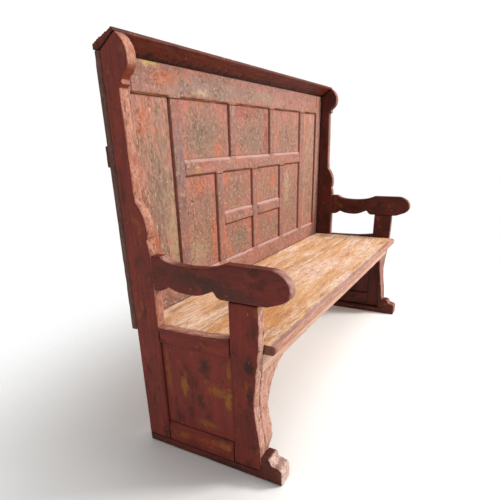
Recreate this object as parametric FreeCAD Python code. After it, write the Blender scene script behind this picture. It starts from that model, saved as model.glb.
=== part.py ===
import FreeCAD, Part
import math
import os

# A monks bench: a long joined seat between two tall end frames.
# Each end frame is a rear post with a shaped ear, a front post, a scrolled arm,
# two side rails, a thin panel and a sled foot.
# The back is a frame of stiles, rails and muntins round eleven panels,
# and a sloping capping board lies along the top.
# Sizes are in millimetres.
# X runs along the bench, Y towards the back and Z up.
# The origin is on the floor, at the middle of the bench's length and depth.

os.makedirs("parts", exist_ok=True)
V = FreeCAD.Vector

# Overall sizes
bench_length = 1600.0
arm_reach = 516.0
ridge_height = 1202.0
arm_height = 656.0
seat_height = 436.0

# Thickness of the boards
end_thickness = 35.0
foot_width = 58.0
foot_thickness = 30.0
seat_thickness = 30.0
rail_thickness = 24.0
back_thickness = 20.0
batten_thickness = 9.0
end_panel_thickness = 12.0
back_panel_thickness = 8.0

# End frames, as reach forward of the back's front face and height above the floor
post_depth = 88.0
neck_depth = 50.0
waist_depth = 56.0
front_post_rear = 336.0
front_post_front = 429.0
front_post_hollow = 18.0
hollow_height = 262.0
toe_reach = 499.0
toe_height = 82.0
bottom_rail_top = 102.0
side_rail_bottom = 386.0
side_rail_rise = 13.0
arm_underside_drop = 99.0
arm_dish = 20.0
bracket_width = 150.0
bracket_waist = 50.0
bracket_hollow = 17.0

# Capping board
capping_reach = 47.0
capping_edge = 10.0
capping_overhang = 5.0
back_top_drop = 44.0

# Back frame, where each share is of the bench's length from its middle
back_bottom_drop = 22.0
stile_width = 99.0
long_muntin_share = 0.339
long_muntin_width = 59.0
upper_muntin_share = 0.121
upper_muntin_width = 49.0
lower_muntin_share = 0.188
lower_muntin_width = 52.0
centre_muntin_width = 48.0
top_rail_width = 89.0
bottom_rail_above_seat = 76.0
mid_rail_bottom = 838.0
mid_rail_width = 58.0
short_rail_bottom = 643.0
short_rail_width = 57.0
batten_bottom = 887.0
batten_width = 56.0

# Seat
seat_nosing_reach = 460.0
seat_joint_reach = 210.0
nosing_radius = 13.0
apron_reach = 428.0
apron_bottom = 346.0
bearer_width = 22.0
bearer_depth = 22.0
centre_bearer_width = 50.0
centre_bearer_depth = 40.0

# Joints
panel_recess = 9.0
groove_depth = 7.0
sill_bevel = 12.0
head_bevel = 9.0
edge_bevel = 5.0
tenon_thickness = 8.0
tenon_length = 25.0
short_tenon = 14.0
tenon_shoulder = 9.0
arris = 1.6
peg_radius = 4.0
back_peg_radius = 3.0
peg_length = 18.0

# Places worked out from the sizes above
half_length = bench_length / 2.0
inner_half = half_length - end_thickness
back_face = (arm_reach - back_thickness - batten_thickness) / 2.0
back_rear = back_face + back_thickness
back_top = ridge_height - back_top_drop
back_bottom = seat_height - back_bottom_drop
seat_underside = seat_height - seat_thickness
arm_underside = arm_height - arm_underside_drop
stile_inner = half_length - stile_width
long_muntin_outer = bench_length * long_muntin_share
upper_muntin_outer = bench_length * upper_muntin_share
lower_muntin_outer = bench_length * lower_muntin_share
long_muntin_inner = long_muntin_outer - long_muntin_width
lower_muntin_inner = lower_muntin_outer - lower_muntin_width
upper_muntin_inner = upper_muntin_outer - upper_muntin_width
centre_muntin_half = centre_muntin_width / 2.0
top_rail_bottom = back_top - top_rail_width
back_sill = seat_height + bottom_rail_above_seat
mid_rail_top = mid_rail_bottom + mid_rail_width
short_rail_top = short_rail_bottom + short_rail_width


class Outline:
    """A closed outline, drawn edge by edge in the plane that place() describes."""

    def __init__(self, place, start):
        self.place = place
        self.first = start
        self.last = start
        self.heading = (0.0, 1.0)
        self.edges = []

    def line(self, *points):
        for point in points:
            self.edges.append(Part.makeLine(self.place(self.last), self.place(point)))
            self.turn(*point, since=self.last)
            self.last = point
        return self

    def turn(self, across, up, since=(0.0, 0.0)):
        """Faces the next edge in a direction: a corner, unless it is the way already faced."""
        step = (across - since[0], up - since[1])
        length = math.hypot(*step)
        self.heading = (step[0] / length, step[1] / length)
        return self

    def arc(self, point):
        """One arc that carries on in the direction faced."""
        chord = (point[0] - self.last[0], point[1] - self.last[1])
        along = chord[0] * self.heading[0] + chord[1] * self.heading[1]
        aside = chord[0] * self.heading[1] - chord[1] * self.heading[0]
        half_turn = math.atan2(aside, along)
        rise = math.tan(half_turn / 2.0) / 2.0
        middle = (self.last[0] + chord[0] / 2.0 - chord[1] * rise,
                  self.last[1] + chord[1] / 2.0 + chord[0] * rise)
        curve = Part.Arc(self.place(self.last), self.place(middle), self.place(point))
        self.edges.append(curve.toShape())
        turned = math.atan2(chord[1], chord[0]) - half_turn
        self.heading = (math.cos(turned), math.sin(turned))
        self.last = point
        return self

    def bend(self, point, arriving):
        """Two arcs that carry on smoothly and arrive at a point in a given direction."""
        length = math.hypot(*arriving)
        arriving = (arriving[0] / length, arriving[1] / length)
        chord = (point[0] - self.last[0], point[1] - self.last[1])
        both = (self.heading[0] + arriving[0], self.heading[1] + arriving[1])
        reach = chord[0] * both[0] + chord[1] * both[1]
        spread = 1.0 - (self.heading[0] * arriving[0] + self.heading[1] * arriving[1])
        square = chord[0] ** 2 + chord[1] ** 2
        if spread < 1e-6:
            arm_length = square / (2.0 * reach)
        else:
            arm_length = (math.sqrt(reach ** 2 + 2.0 * spread * square) - reach) / (2.0 * spread)
        middle = [(self.last[i] + point[i] + arm_length * (self.heading[i] - arriving[i])) / 2.0
                  for i in (0, 1)]
        self.arc(tuple(middle))
        self.arc(point)
        self.heading = arriving
        return self

    def solid(self, direction):
        self.line(self.first)
        return Part.Face(Part.Wire(self.edges)).extrude(direction)


def box(x, reach, z):
    """A board between two values each of x, reach forward of the back's face, and height."""
    corner = V(min(x), back_face - max(reach), min(z))
    return Part.makeBox(abs(x[1] - x[0]), abs(reach[1] - reach[0]), abs(z[1] - z[0]), corner)


def side_outline(x, start):
    """An outline seen from the side, in (reach, height), lying at x."""
    return Outline(lambda point: V(x, back_face - point[0], point[1]), start)


def ease(shape, wanted, size=arris):
    """Takes the sharp corner off the edges that wanted() picks."""
    edges = [edge for edge in shape.Edges if wanted(edge)]
    return shape.makeChamfer(size, edges)


def lies_at(edge, axis, value):
    low = getattr(edge.BoundBox, axis + "Min")
    high = getattr(edge.BoundBox, axis + "Max")
    return abs(low - value) < 0.01 and abs(high - value) < 0.01


def join(pieces):
    solid = pieces[0]
    for piece in pieces[1:]:
        solid = solid.fuse(piece)
    return solid.removeSplitter()


def cut(shape, tools):
    """Takes away only the tools that reach the shape."""
    for tool in tools:
        if shape.BoundBox.intersect(tool.BoundBox):
            shape = shape.cut(tool)
    return shape


def opposite(shape):
    """The same piece for the other end of the bench."""
    return shape.mirror(V(0, 0, 0), V(1, 0, 0))


def bevelled_mouth(x, z):
    """The space over a panel: as wide as the panel's opening at the panel, wider at the face."""
    rings = []
    for depth, spread in ((0.0, 1.0), (panel_recess, 0.0)):
        y = back_face + depth
        left = x[0] - edge_bevel * spread
        right = x[1] + edge_bevel * spread
        low = z[0] - sill_bevel * spread
        high = z[1] + head_bevel * spread
        corners = [V(left, y, low), V(right, y, low), V(right, y, high), V(left, y, high)]
        rings.append(Part.makePolygon(corners + corners[:1]))
    return Part.makeLoft(rings, True, True)


# Left end frame, whose outer face is at x = -half_length
outer = -half_length
inner = -inner_half
across = V(end_thickness, 0, 0)


def rear_post():
    """Tall post: an ear at the top, a bead under it, a slim shaft and a shoulder over the arm."""
    ear_reach = post_depth - 1
    outline = side_outline(outer, (0, foot_thickness))
    outline.line((0, back_top), (capping_reach + 5, ridge_height - capping_edge))
    outline.turn(2, -1).bend((ear_reach, ridge_height - 65), (0, -1))
    outline.bend((neck_depth + 4, ridge_height - 112), (-2, -1))
    outline.line((neck_depth + 4, ridge_height - 116), (neck_depth + 10, ridge_height - 116))
    outline.line((neck_depth + 10, ridge_height - 124), (neck_depth, ridge_height - 124))
    outline.line((waist_depth, arm_height + 144))
    outline.turn(1, -1).bend((ear_reach, arm_height + 69), (0, -1))
    outline.bend((post_depth - 8, arm_height + 42), (-1, -1))
    outline.turn(1, -2).bend((post_depth, arm_height), (0, -1))
    outline.line((post_depth, foot_thickness))
    return outline.solid(across)


def front_post():
    """Front post with a long shallow hollow down its front edge."""
    hollow_reach = front_post_front - front_post_hollow
    outline = side_outline(outer, (front_post_rear, foot_thickness))
    outline.line((front_post_rear, arm_underside), (front_post_front - 3, arm_underside))
    outline.turn(0, -1).bend((hollow_reach, hollow_height), (0, -1))
    outline.bend((front_post_front, toe_height), (0, -1))
    outline.line((front_post_front, foot_thickness))
    return outline.solid(across)


def arm():
    """Arm board: dished behind, flat over the post, rolled down at the front, cusped below."""
    dish = (post_depth + front_post_rear) / 2.0 + 8
    outline = side_outline(outer, (post_depth, arm_underside - 3))
    outline.line((post_depth, arm_height), (post_depth + 33, arm_height))
    outline.turn(3, -2).bend((dish, arm_height - arm_dish), (1, 0))
    outline.bend((front_post_rear - 10, arm_height), (2, 1))
    outline.line((arm_reach - 60, arm_height))
    outline.bend((arm_reach, arm_height - 52), (0, -1))
    outline.bend((arm_reach - 33, arm_height - 87), (-3, -1))
    outline.bend((arm_reach - 77, arm_underside), (-1, 0))
    outline.line((front_post_rear - 18, arm_underside))
    outline.bend((front_post_rear - 44, arm_underside + 22), (-1, 5))
    outline.turn(-2, -1).bend((dish - 3, arm_underside - 1), (-1, 0))
    outline.bend((post_depth + 50, arm_underside + 14), (-2, 1))
    outline.turn(-1, -1).bend((post_depth + 15, arm_underside - 3), (-1, 0))
    return outline.solid(across)


def sled_foot():
    """Foot under both posts, standing up in front of the front post as a rounded toe."""
    outline = side_outline(outer, (0, 0))
    outline.line((toe_reach, 0), (toe_reach, toe_height - 34))
    outline.bend((toe_reach - 11, toe_height - 24), (-4, 1))
    outline.bend((toe_reach - 36, toe_height - 10), (0, 1))
    outline.bend((toe_reach - 47, toe_height), (-1, 0))
    outline.line((front_post_front, toe_height), (front_post_front, foot_thickness))
    outline.line((0, foot_thickness))
    return outline.solid(V(foot_width, 0, 0))


def side_tenons(low, high):
    """Tenons into both posts of an end frame, for a rail between two heights."""
    x = (outer + end_thickness / 2.0, outer + end_thickness / 2.0 + tenon_thickness)
    z = (low + tenon_shoulder, high - tenon_shoulder)
    return [box(x, (post_depth - tenon_length, post_depth), z),
            box(x, (front_post_rear, front_post_rear + tenon_length), z)]


def side_rail():
    """Rail beside the seat, with a dished top that rises to the front."""
    rear_top = seat_height + 3
    outline = side_outline(outer, (post_depth, side_rail_bottom))
    outline.line((post_depth, rear_top))
    outline.turn(1, 0).bend((front_post_rear, rear_top + side_rail_rise), (6, 1))
    outline.line((front_post_rear, side_rail_bottom))
    return outline.solid(across)


def end_mouth():
    """The bevelled space over the end panel, on the outer face."""
    rings = []
    for depth, spread in ((0.0, 1.0), (panel_recess, 0.0)):
        x = outer + depth
        rear = post_depth - edge_bevel * spread
        front = front_post_rear + edge_bevel * spread
        low = bottom_rail_top - sill_bevel * spread
        high = side_rail_bottom + edge_bevel * spread
        corners = [(rear, low), (front, low), (front, high), (rear, high)]
        points = [V(x, back_face - reach, height) for reach, height in corners]
        rings.append(Part.makePolygon(points + points[:1]))
    return Part.makeLoft(rings, True, True)


def corner_bracket():
    """Board in the corner of front post and apron: a swept curve above, a small foot below."""
    apron_rear = apron_reach - rail_thickness
    foot_inner = foot_width - end_thickness
    start = V(inner, back_face - front_post_front, 0)
    face = Outline(lambda point: start + V(point[0], 0, point[1]), (0, foot_thickness))
    face.line((foot_inner, foot_thickness), (foot_inner, toe_height))
    face.turn(1, 1).bend((bracket_waist + 2, toe_height + 40), (0, 1))
    face.bend((bracket_waist, hollow_height - 65), (0, 1))
    face.bend((bracket_waist + 42, apron_bottom - 50), (2, 3))
    face.bend((bracket_width, apron_bottom), (2, 1))
    face.line((0, apron_bottom))
    blank = face.solid(V(0, front_post_front - apron_rear, 0))
    profile = side_outline(inner, (apron_rear, foot_thickness))
    profile.line((front_post_front, foot_thickness), (front_post_front, toe_height))
    profile.bend((front_post_front - bracket_hollow, hollow_height), (0, 1))
    profile.bend((apron_reach, apron_bottom), (0, 1))
    profile.line((apron_rear, apron_bottom))
    return blank.common(profile.solid(V(bracket_width, 0, 0)))


def left_end():
    side_tenon_pair = side_tenons(side_rail_bottom, seat_height)
    bottom_tenon_pair = side_tenons(foot_thickness, bottom_rail_top)
    panel_x = (outer + panel_recess, outer + panel_recess + end_panel_thickness)
    panel = box(panel_x, (post_depth - groove_depth, front_post_rear + groove_depth),
                (bottom_rail_top - groove_depth, side_rail_bottom + groove_depth))
    bottom_rail = box((outer, inner), (post_depth, front_post_rear), (foot_thickness, bottom_rail_top))
    sunk = [end_mouth(), panel]
    tenons = side_tenon_pair + bottom_tenon_pair
    return {
        "rear_post": cut(soften(rear_post()), sunk + tenons),
        "front_post": cut(soften(front_post()), sunk + tenons),
        "arm": soften(arm()),
        "side_rail": cut(join([soften(side_rail())] + side_tenon_pair), sunk),
        "bottom_rail": cut(join([bottom_rail] + bottom_tenon_pair), sunk),
        "end_panel": panel,
        "sled_foot": soften(sled_foot()),
        "corner_bracket": corner_bracket(),
    }


def peg(radius, length, start, direction):
    """An eight-sided riven peg."""
    turn = FreeCAD.Rotation(V(0, 0, 1), direction)
    angles = [math.pi * i / 4.0 for i in range(8)]
    corners = [start + turn.multVec(V(math.cos(angle), math.sin(angle), 0) * radius) for angle in angles]
    return Part.Face(Part.makePolygon(corners + corners[:1])).extrude(direction * length)


def end_pegs():
    """Pegs through the outer face into the tenons of an end frame."""
    pegs = []
    low = (foot_thickness + bottom_rail_top) / 2.0
    high = (side_rail_bottom + seat_height) / 2.0
    for reach in (post_depth - tenon_length / 2.0, front_post_rear + tenon_length / 2.0):
        for height in (low, high):
            start = V(outer, back_face - reach, height)
            pegs.append(peg(peg_radius, end_thickness - 5, start, V(1, 0, 0)))
    return pegs


# Back frame, where each share is of the bench's length from its middle

def flat(x, z):
    """A member of the back frame, between two values of x and of height."""
    return box(x, (0, -back_thickness), z)


def back_tenon(x, z):
    middle = -back_thickness * 0.6
    return box(x, (middle + tenon_thickness / 2.0, middle - tenon_thickness / 2.0), z)


def rail_member(x, z, length):
    """A rail with a tenon at each end."""
    z_tenon = (z[0] + tenon_shoulder, z[1] - tenon_shoulder)
    tenons = [back_tenon((x[0] - length, x[0]), z_tenon), back_tenon((x[1], x[1] + length), z_tenon)]
    return flat(x, z), tenons


def muntin_member(x, z):
    """An upright with a tenon at its foot and its head."""
    x_tenon = (x[0] + tenon_shoulder, x[1] - tenon_shoulder)
    ends = ((z[0] - short_tenon, z[0]), (z[1], z[1] + short_tenon))
    tenons = [back_tenon(x_tenon, end) for end in ends]
    return flat(x, z), tenons


def both_sides(x, z, maker, name, *more):
    """The same member left and right of the middle."""
    return {
        "left_" + name: maker((-x[1], -x[0]), z, *more),
        "right_" + name: maker(x, z, *more),
    }


def back_members():
    full = (back_sill, top_rail_bottom)
    lower = (back_sill, mid_rail_bottom)
    upper = (mid_rail_top, top_rail_bottom)
    members = {}
    for side, sign in (("left", -1), ("right", 1)):
        stile = flat((sign * stile_inner, sign * half_length), (back_bottom, back_top))
        members[side + "_back_stile"] = (stile, [])
    between_stiles = (-stile_inner, stile_inner)
    members["back_top_rail"] = rail_member(between_stiles, (top_rail_bottom, back_top), tenon_length)
    members["back_bottom_rail"] = rail_member(between_stiles, (back_bottom, back_sill), tenon_length)
    members["back_mid_rail"] = rail_member((-long_muntin_inner, long_muntin_inner),
                                           (mid_rail_bottom, mid_rail_top), tenon_length)
    muntins = (("long_muntin", long_muntin_inner, long_muntin_outer, full),
               ("upper_muntin", upper_muntin_inner, upper_muntin_outer, upper),
               ("lower_muntin", lower_muntin_inner, lower_muntin_outer, lower))
    for name, near, far, z in muntins:
        members.update(both_sides((near, far), z, muntin_member, name))
    members["centre_muntin"] = muntin_member((-centre_muntin_half, centre_muntin_half), lower)
    short_rail_z = (short_rail_bottom, short_rail_top)
    members.update(both_sides((centre_muntin_half, lower_muntin_inner), short_rail_z,
                              rail_member, "short_rail", short_tenon))
    return members


def panel_openings():
    """The eleven openings of the back, left to right, as (x, z)."""
    full = (back_sill, top_rail_bottom)
    lower = (back_sill, mid_rail_bottom)
    upper = (mid_rail_top, top_rail_bottom)
    low_small = (back_sill, short_rail_bottom)
    high_small = (short_rail_top, mid_rail_bottom)
    tall = (long_muntin_outer, stile_inner)
    wide = (upper_muntin_outer, long_muntin_inner)
    narrow = (lower_muntin_outer, long_muntin_inner)
    small = (centre_muntin_half, lower_muntin_inner)
    openings = {"upper_centre_panel": ((-upper_muntin_inner, upper_muntin_inner), upper)}
    pairs = (("tall_panel", tall, full), ("upper_panel", wide, upper), ("narrow_panel", narrow, lower),
             ("small_upper_panel", small, high_small), ("small_lower_panel", small, low_small))
    for name, x, z in pairs:
        openings["left_" + name] = ((-x[1], -x[0]), z)
        openings["right_" + name] = (x, z)
    return openings


def back_pegs():
    """Pegs through the front face where rails and long muntins are tenoned."""
    places = []
    for sign in (-1, 1):
        stile_peg = sign * (stile_inner + tenon_length / 2.0)
        muntin_peg = sign * (long_muntin_inner + tenon_length / 2.0)
        for low, high in ((back_bottom, back_sill), (top_rail_bottom, back_top)):
            places.append((stile_peg, low + (high - low) * 0.3))
            places.append((stile_peg, low + (high - low) * 0.7))
        places.append((muntin_peg, (mid_rail_bottom + mid_rail_top) / 2.0))
        muntin_middle = sign * (long_muntin_inner + long_muntin_outer) / 2.0
        places.append((muntin_middle, top_rail_bottom + short_tenon / 2.0))
        places.append((muntin_middle, back_sill - short_tenon / 2.0))
    return [peg(back_peg_radius, peg_length, V(x, back_face, z), V(0, 1, 0)) for x, z in places]


def build_back():
    members = back_members()
    openings = panel_openings()
    panel_depth = (-panel_recess, -panel_recess - back_panel_thickness)
    panels = {}
    mouths = []
    for name, (x, z) in openings.items():
        mouths.append(bevelled_mouth(x, z))
        panels[name] = box((x[0] - groove_depth, x[1] + groove_depth), panel_depth,
                           (z[0] - groove_depth, z[1] + groove_depth))
    return members, panels, mouths


# Seat

def seat_boards():
    front = box((-inner_half, inner_half), (seat_joint_reach, seat_nosing_reach),
                (seat_underside, seat_height))
    front_y = back_face - seat_nosing_reach
    long_edges = [edge for edge in front.Edges
                  if lies_at(edge, "Y", front_y) and edge.BoundBox.XLength > foot_width]
    front = front.makeFillet(nosing_radius, long_edges)
    rear = box((-inner_half, inner_half), (0, seat_joint_reach), (seat_underside, seat_height))
    joint_y = back_face - seat_joint_reach

    def on_joint(edge):
        return lies_at(edge, "Y", joint_y) and lies_at(edge, "Z", seat_height)

    return ease(front, on_joint), ease(rear, on_joint)


def seat_frame():
    apron_rear = apron_reach - rail_thickness
    rail_z = (apron_bottom, seat_underside)
    tenon_z = (apron_bottom + tenon_shoulder, seat_underside - tenon_shoulder)
    pieces = {}
    tenons = []
    for name, low, high in (("seat_apron", apron_rear, apron_reach), ("seat_rear_rail", 0, rail_thickness)):
        body = box((-inner_half, inner_half), (low, high), rail_z)
        tongue = (low + 4, low + 4 + tenon_thickness)
        ends = [box((sign * inner_half, sign * (inner_half + tenon_length)), tongue, tenon_z)
                for sign in (-1, 1)]
        pieces[name] = join([body] + ends)
        tenons += ends
    bearer_z = (seat_underside - bearer_depth, seat_underside)
    for name, sign in (("left_seat_bearer", -1), ("right_seat_bearer", 1)):
        pieces[name] = box((sign * inner_half, sign * (inner_half - bearer_width)),
                           (rail_thickness, apron_rear), bearer_z)
    housing = rail_thickness / 2.0
    half = centre_bearer_width / 2.0
    centre = box((-half, half), (rail_thickness - housing, apron_rear + housing),
                 (seat_underside - centre_bearer_depth, seat_underside))
    pieces["centre_seat_bearer"] = centre
    for name in ("seat_apron", "seat_rear_rail"):
        pieces[name] = pieces[name].cut(centre)
    return pieces, tenons


def capping_board():
    """Sloping board that seats on the posts' sloped tops and on the back's top rail."""
    rear = -back_thickness - capping_overhang
    outline = side_outline(-half_length, (0, back_top))
    outline.line((capping_reach + 5, ridge_height - capping_edge), (capping_reach, ridge_height))
    outline.line((rear + 9, ridge_height - 26))
    outline.bend((rear + 5, back_top), (1, -1))
    return outline.solid(V(bench_length, 0, 0))


def rear_batten():
    batten = box((-half_length, half_length), (-back_thickness, -back_thickness - batten_thickness),
                 (batten_bottom, batten_bottom + batten_width))
    rear_y = back_rear + batten_thickness
    return ease(batten, lambda edge: lies_at(edge, "Y", rear_y), batten_thickness / 3.0)


def soften(piece):
    """Takes off the arrises along both broad faces of an end piece."""
    return ease(piece, lambda edge: lies_at(edge, "X", outer) or lies_at(edge, "X", inner))


seat_pieces, seat_tenons = seat_frame()
left = left_end()
end_peg_list = end_pegs()
nodes = {}
for name, piece in left.items():
    piece = cut(piece, end_peg_list + seat_tenons)
    nodes["left_" + name] = piece
    nodes["right_" + name] = opposite(piece)
nodes["left_end_pegs"] = Part.makeCompound(end_peg_list)
nodes["right_end_pegs"] = Part.makeCompound([opposite(peg) for peg in end_peg_list])
nodes["capping_board"] = capping_board()

members, panels, mouths = build_back()
back_peg_list = back_pegs()
for name, (body, tenons) in members.items():
    others = [tenon for other, (_, found) in members.items() if other != name for tenon in found]
    shape = cut(join([body] + tenons), mouths + list(panels.values()) + back_peg_list)
    nodes[name] = cut(shape, others)
for name, panel in panels.items():
    nodes[name] = panel
nodes["back_pegs"] = Part.makeCompound(back_peg_list)
nodes["rear_batten"] = rear_batten()

nodes["front_seat_board"], nodes["rear_seat_board"] = seat_boards()
nodes.update(seat_pieces)

for name, shape in nodes.items():
    shape.exportStep(os.path.join("parts", name + ".step"))

whole = Part.makeCompound(list(nodes.values())).BoundBox
print(len(nodes), "nodes")
corners = (whole.XMin, whole.XMax, whole.YMin, whole.YMax, whole.ZMin, whole.ZMax)
print("box", [round(value, 2) for value in corners])
for name, shape in nodes.items():
    if len(shape.Solids) != 1 and "pegs" not in name:
        print("not one solid:", name, len(shape.Solids))
    if not shape.isValid():
        print("not valid:", name)
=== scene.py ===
# %% [markdown]
# # A monks bench in painted pine
# The bench is a high-backed seat between two end frames. Its framing, panels and seat come
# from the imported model, in metres. This lesson dresses them. It sets the camera, gives every
# board worn arrises and hand-planed faces, mixes two old paints and a bare pine, lays them on
# the boards and panels, and ends with a floor and light.

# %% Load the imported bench
import math
from functools import partial

import bpy
import numpy as np
from mathutils import Matrix, Vector, noise


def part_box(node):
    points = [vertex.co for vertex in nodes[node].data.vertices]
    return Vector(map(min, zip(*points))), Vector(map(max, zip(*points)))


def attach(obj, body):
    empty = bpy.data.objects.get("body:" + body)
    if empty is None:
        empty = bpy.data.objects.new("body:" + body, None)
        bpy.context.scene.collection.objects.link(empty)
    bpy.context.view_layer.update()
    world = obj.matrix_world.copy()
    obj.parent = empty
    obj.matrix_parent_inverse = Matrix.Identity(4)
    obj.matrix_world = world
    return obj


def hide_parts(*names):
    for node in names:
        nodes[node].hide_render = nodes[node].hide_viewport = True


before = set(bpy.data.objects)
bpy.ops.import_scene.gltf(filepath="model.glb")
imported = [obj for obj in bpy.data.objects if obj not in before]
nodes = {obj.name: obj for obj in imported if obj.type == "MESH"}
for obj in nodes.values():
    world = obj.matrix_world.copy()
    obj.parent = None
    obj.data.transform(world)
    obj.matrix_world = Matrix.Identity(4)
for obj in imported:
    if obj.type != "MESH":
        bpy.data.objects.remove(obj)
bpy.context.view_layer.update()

# %% [markdown]
# ## The camera
# The picture was taken from close by, left of the bench and a little above its seat, so the
# near end looks tall and the far end small. Its place, its turn and its lens were worked out
# from known corners of the bench, for a square picture of 500 by 500. The picture's middle
# isn't quite where the lens points, and a small shift of the lens allows for that.

# %% Set the camera
picture_width = 500.0
focal_length = 430.07
optical_centre = (245.09, 326.79)
camera_place = (-1.70162, -0.65993, 0.93895)
azimuth, elevation, roll = (math.radians(angle) for angle in (-60.261, 23.084, -1.557))
back = Vector((math.sin(azimuth) * math.cos(elevation),
               -math.cos(azimuth) * math.cos(elevation), math.sin(elevation)))
level_right = Vector((0, 0, 1)).cross(back).normalized()
level_up = back.cross(level_right)
right = math.cos(roll) * level_right + math.sin(roll) * level_up
up = back.cross(right)
turn = Matrix((right, up, back)).transposed().to_4x4()

camera_data = bpy.data.cameras.new("camera")
camera_data.sensor_width = 36.0
camera_data.lens = focal_length / picture_width * camera_data.sensor_width
camera_data.shift_x = 0.5 - optical_centre[0] / picture_width
camera_data.shift_y = optical_centre[1] / picture_width - 0.5
camera = bpy.data.objects.new("camera", camera_data)
camera.matrix_world = Matrix.Translation(camera_place) @ turn
bpy.context.scene.collection.objects.link(camera)
bpy.context.scene.camera = camera
print("lens", round(camera_data.lens, 2), "shift", round(camera_data.shift_x, 4),
      round(camera_data.shift_y, 4))

# %% [markdown]
# ## Two helpers for every finish
# Colours are picked as the eye sees them, as sRGB hex values, and Blender wants them linear,
# so one function turns them. The other adds a node: each input is given a value or is joined
# to the socket that feeds it. Inputs go by name, or by number where a node has several of one
# name, as Math has, and Mix, whose two colours are 6 and 7.

# %% Colour and node helpers
def linear(code):
    """An sRGB hex colour as linear red, green, blue and alpha."""
    parts = [int(code[i:i + 2], 16) / 255.0 for i in (0, 2, 4)]
    return [c / 12.92 if c <= 0.04045 else ((c + 0.055) / 1.055) ** 2.4 for c in parts] + [1.0]


def add(tree, kind, inputs, **settings):
    """Adds a node with its settings, and gives each input a value or a link."""
    node = tree.nodes.new("ShaderNode" + kind)
    for name, value in settings.items():
        setattr(node, name, value)
    for name, value in inputs.items():
        if isinstance(value, bpy.types.NodeSocket):
            tree.links.new(value, node.inputs[name])
        else:
            node.inputs[name].default_value = value
    return node


print("oxblood in linear light", [round(part, 3) for part in linear("6d271d")])

# %% [markdown]
# ## Boards that have been used
# A board that was planed by hand a century or two ago isn't flat: it rolls a little along its
# grain, its arrises are rubbed round, and here and there a splinter has gone. Each board is
# made from the solid of its node. It is remeshed into small even squares, so that it has
# points to move, and then every point moves in by less than a millimetre, or by a few where
# an arris has chipped. Nothing moves out, so the board stays inside its solid.

# %% Remesh a node's solid
mm = 0.001
axis_numbers = {"X": 0, "Y": 1, "Z": 2}


def link_piece(name, mesh):
    piece = bpy.data.objects.new(name, mesh)
    bpy.context.scene.collection.objects.link(piece)
    return piece


def fine_copy(name, node, cell):
    """A copy of a node's solid, remeshed into squares of one size."""
    solid = link_piece(name, nodes[node].data.copy())
    weld = solid.modifiers.new("weld", "WELD")
    weld.merge_threshold = 0.01 * mm
    remesh = solid.modifiers.new("remesh", "REMESH")
    remesh.mode = "VOXEL"
    remesh.voxel_size = cell
    solid.data.materials.clear()
    depsgraph = bpy.context.evaluated_depsgraph_get()
    mesh = bpy.data.meshes.new_from_object(solid.evaluated_get(depsgraph))
    mesh.name = name
    solid.modifiers.clear()
    solid.data = mesh
    return solid


# %% Read and keep numbers on a mesh
def read(mesh_items, key, width):
    """One property of every vertex or edge, as an array."""
    values = np.zeros(len(mesh_items) * width, np.int32 if key == "vertices" else np.float32)
    mesh_items.foreach_get(key, values)
    return values.reshape(-1, width)


def keep(mesh, name, values):
    """Stores one number per point for the finish to read."""
    layer = mesh.attributes.new(name, "FLOAT", "POINT")
    layer.data.foreach_set("value", np.asarray(values, np.float32))


def dress(piece, node, finish):
    """Gives a piece its finish, and lets it stand for its node."""
    mesh = piece.data
    mesh.polygons.foreach_set("use_smooth", [True] * len(mesh.polygons))
    mesh.materials.append(finish)
    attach(piece, "root")
    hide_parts(node)


# %% Where a board rolls, and where it is rubbed
def rolling(points, across, along, grain, seed):
    """Smooth noise from -1 to 1, with one wave length across the grain and one along it."""
    lengths = [across, across, across]
    lengths[axis_numbers[grain]] = along
    shift = Vector((seed * 7.31, seed * 3.77, seed * 5.19))
    return np.array([noise.noise(Vector((x / lengths[0], y / lengths[1], z / lengths[2])) + shift)
                     for x, y, z in points])


def near_arris(mesh, normals, broad):
    """From 0 on a face to nearly 1 on the arris between a wide face and a narrow one."""
    edges = read(mesh.edges, "vertices", 2)
    wide = np.abs(normals[:, axis_numbers[broad]])
    narrow = np.sqrt(np.clip(1.0 - wide ** 2, 0.0, 1.0))
    rub = 2.0 * np.minimum(wide, narrow)
    neighbours = np.bincount(edges.ravel(), minlength=len(rub))
    for _ in range(2):  # spreads it over the next two squares
        total = np.bincount(edges[:, 0], rub[edges[:, 1]], len(rub))
        total += np.bincount(edges[:, 1], rub[edges[:, 0]], len(rub))
        rub = 0.5 * rub + 0.5 * total / np.maximum(neighbours, 1)
    return rub


# %% Wear one board
board_count = 0
board_looks = 17  # after this many boards the paint's pattern starts again
plane_wave = 0.5 * mm
chip_rarity = 0.28  # noise under this leaves the arris whole


def worn_board(name, node, grain, broad, finish, cell=4 * mm, chip=3 * mm):
    """Dresses one board: broad is the axis that its wide faces look along."""
    global board_count
    board_count += 1
    piece = fine_copy(name, node, cell)
    mesh = piece.data
    points = read(mesh.vertices, "co", 3).astype(float)
    normals = read(mesh.vertices, "normal", 3)
    rub = near_arris(mesh, normals, broad)
    roll = rolling(points, 45 * mm, 260 * mm, grain, board_count)
    fine = rolling(points, 14 * mm, 60 * mm, grain, board_count + 40)
    bite = rolling(points, 22 * mm, 40 * mm, grain, board_count + 80)
    bite = np.clip(bite - chip_rarity, 0, 1)
    # long rolls, with short ripples a third as deep; a bite is under a half nearly everywhere
    planed = plane_wave * (0.55 + 0.45 * roll) + 0.35 * plane_wave * fine
    inward = planed + rub * bite * chip * 2.0
    points -= normals * inward[:, None]
    low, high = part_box(node)
    points = np.clip(points, np.array(low), np.array(high))
    mesh.vertices.foreach_set("co", points.astype(np.float32).ravel())
    keep(mesh, "board", np.full(len(points), board_count % board_looks))
    dress(piece, node, finish)
    return piece


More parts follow.
